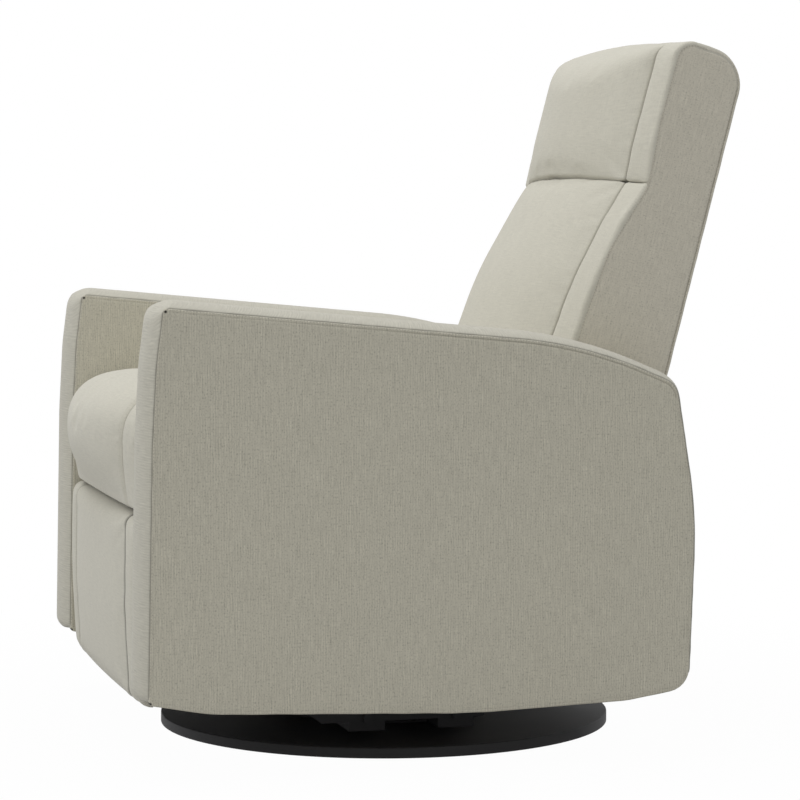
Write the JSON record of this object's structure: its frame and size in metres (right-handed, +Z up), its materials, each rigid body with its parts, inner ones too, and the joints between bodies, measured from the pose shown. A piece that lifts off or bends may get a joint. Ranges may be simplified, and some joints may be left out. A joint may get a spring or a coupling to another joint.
{
  "type": "swivel rocking armchair",
  "caption": "Upholstered armchair on a round swivel floor disc, rocking on a cross shaft, with a reclining back and a footrest that folds out from under the cushion.",
  "frame": {"origin": "where the swivel axis meets the floor", "axes": "+Z up along the swivel axis, the chair faces -Y, +X is the sitter's left"},
  "size_m": [0.8, 0.8717, 0.9633],
  "materials": {
    "fabric": "woven, matt",
    "black_steel": "satin black powder coat",
    "plain_steel": "plain",
    "wood": "sawn",
    "rubber": "matt",
    "nylon": "moulded"
  },
  "bodies": {
    "floor_base": {"base_disc": "black_steel", "base_core": "wood", "floor_ring": "rubber", "lower_race": "plain_steel", "ball_ring": "plain_steel", "king_bolt": "plain_steel"},
    "swivel_frame": {"upper_race": "plain_steel", "cross_beams": "black_steel", "side_rail_left": "black_steel", "side_rail_right": "black_steel", "rocker_shaft": "plain_steel", "rail_bolts": "plain_steel"},
    "rocking_chair": {"rocker_springs": "plain_steel", "mechanism_plate_left": "black_steel", "mechanism_plate_right": "black_steel", "shaft_bushes": "nylon", "seat_rail_front": "wood", "seat_rail_rear": "wood", "seat_rail_left": "wood", "seat_rail_right": "wood", "seat_springs": "plain_steel", "seat_cushion": "fabric", "rear_panel": "fabric", "arm_left_outer_panel": "fabric", "arm_left_inner_panel": "fabric", "arm_left_front_band": "fabric", "arm_left_top_band": "fabric", "arm_left_rear_band": "fabric", "arm_left_front_post": "wood", "arm_left_rear_post": "wood", "arm_left_top_rail": "wood", "arm_left_bottom_rail": "wood", "arm_right_outer_panel": "fabric", "arm_right_inner_panel": "fabric", "arm_right_front_band": "fabric", "arm_right_top_band": "fabric", "arm_right_rear_band": "fabric", "arm_right_front_post": "wood", "arm_right_rear_post": "wood", "arm_right_top_rail": "wood", "arm_right_bottom_rail": "wood"},
    "reclining_back": {"back_post_left": "wood", "back_post_right": "wood", "back_cross_rails": "wood", "back_springs": "plain_steel", "back_side_panel_left": "fabric", "back_side_panel_right": "fabric", "headrest_pad": "fabric", "lumbar_pad": "fabric", "back_outer_panel": "fabric", "recline_brackets": "black_steel"},
    "drive_frame": {"drive_tube": "black_steel", "drive_links": "black_steel"},
    "guide_pair": {"guide_links": "black_steel"},
    "coupler_pair": {"coupler_links": "black_steel"},
    "push_pair": {"push_links": "black_steel"},
    "rod_pair": {"push_rods": "black_steel"},
    "footrest": {"footrest_brackets": "black_steel", "footrest_board": "wood", "footrest_pad": "fabric"}
  },
  "joints": [
    {"name": "swivel", "type": "hinge", "parent": "floor_base", "child": "swivel_frame", "pos_m": [0, 0, 0.021], "axis": [0, 0, 1], "continuous": true},
    {"name": "rock", "type": "hinge", "parent": "swivel_frame", "child": "rocking_chair", "pos_m": [0, 0, 0.1], "axis": [-1, 0, 0], "range_deg": [-7, 7], "stiffness_Nm_per_rad": 1400, "deforming": ["rocker_springs"]},
    {"name": "recline", "type": "hinge", "parent": "rocking_chair", "child": "reclining_back", "pos_m": [0, 0.1, 0.335], "axis": [-1, 0, 0], "range_deg": [0, 36]},
    {"name": "drive", "type": "hinge", "parent": "rocking_chair", "child": "drive_frame", "pos_m": [0, -0.2, 0.262], "axis": [-1, 0, 0], "range_deg": [0, 86.4]},
    {"name": "guide", "type": "hinge", "parent": "rocking_chair", "child": "guide_pair", "pos_m": [0, -0.25988, 0.2903], "axis": [-1, 0, 0], "range_deg": [0, 86.4]},
    {"name": "coupler", "type": "hinge", "parent": "drive_frame", "child": "coupler_pair", "pos_m": [0, -0.10421, 0.1252], "axis": [-1, 0, 0], "range_deg": [-86.4, 0]},
    {"name": "push_link", "type": "hinge", "parent": "drive_frame", "child": "push_pair", "pos_m": [0, -0.13633, 0.17107], "axis": [-1, 0, 0], "range_deg": [-86.4, 0]},
    {"name": "push_rod", "type": "hinge", "parent": "drive_frame", "child": "rod_pair", "pos_m": [0, -0.1692, 0.2292], "axis": [-1, 0, 0], "range_deg": [-86.4, 0]},
    {"name": "footrest_turn", "type": "hinge", "parent": "coupler_pair", "child": "footrest", "pos_m": [0, -0.326, 0.23], "axis": [-1, 0, 0], "range_deg": [0, 86.4]}
  ],
  "couplings": [
    {"joint": "drive", "follows": "recline", "ratio": 2.4},
    {"joint": "guide", "follows": "recline", "ratio": 2.4},
    {"joint": "coupler", "follows": "recline", "ratio": -2.4},
    {"joint": "push_link", "follows": "recline", "ratio": -2.4},
    {"joint": "push_rod", "follows": "recline", "ratio": -2.4},
    {"joint": "footrest_turn", "follows": "recline", "ratio": 2.4}
  ]
}
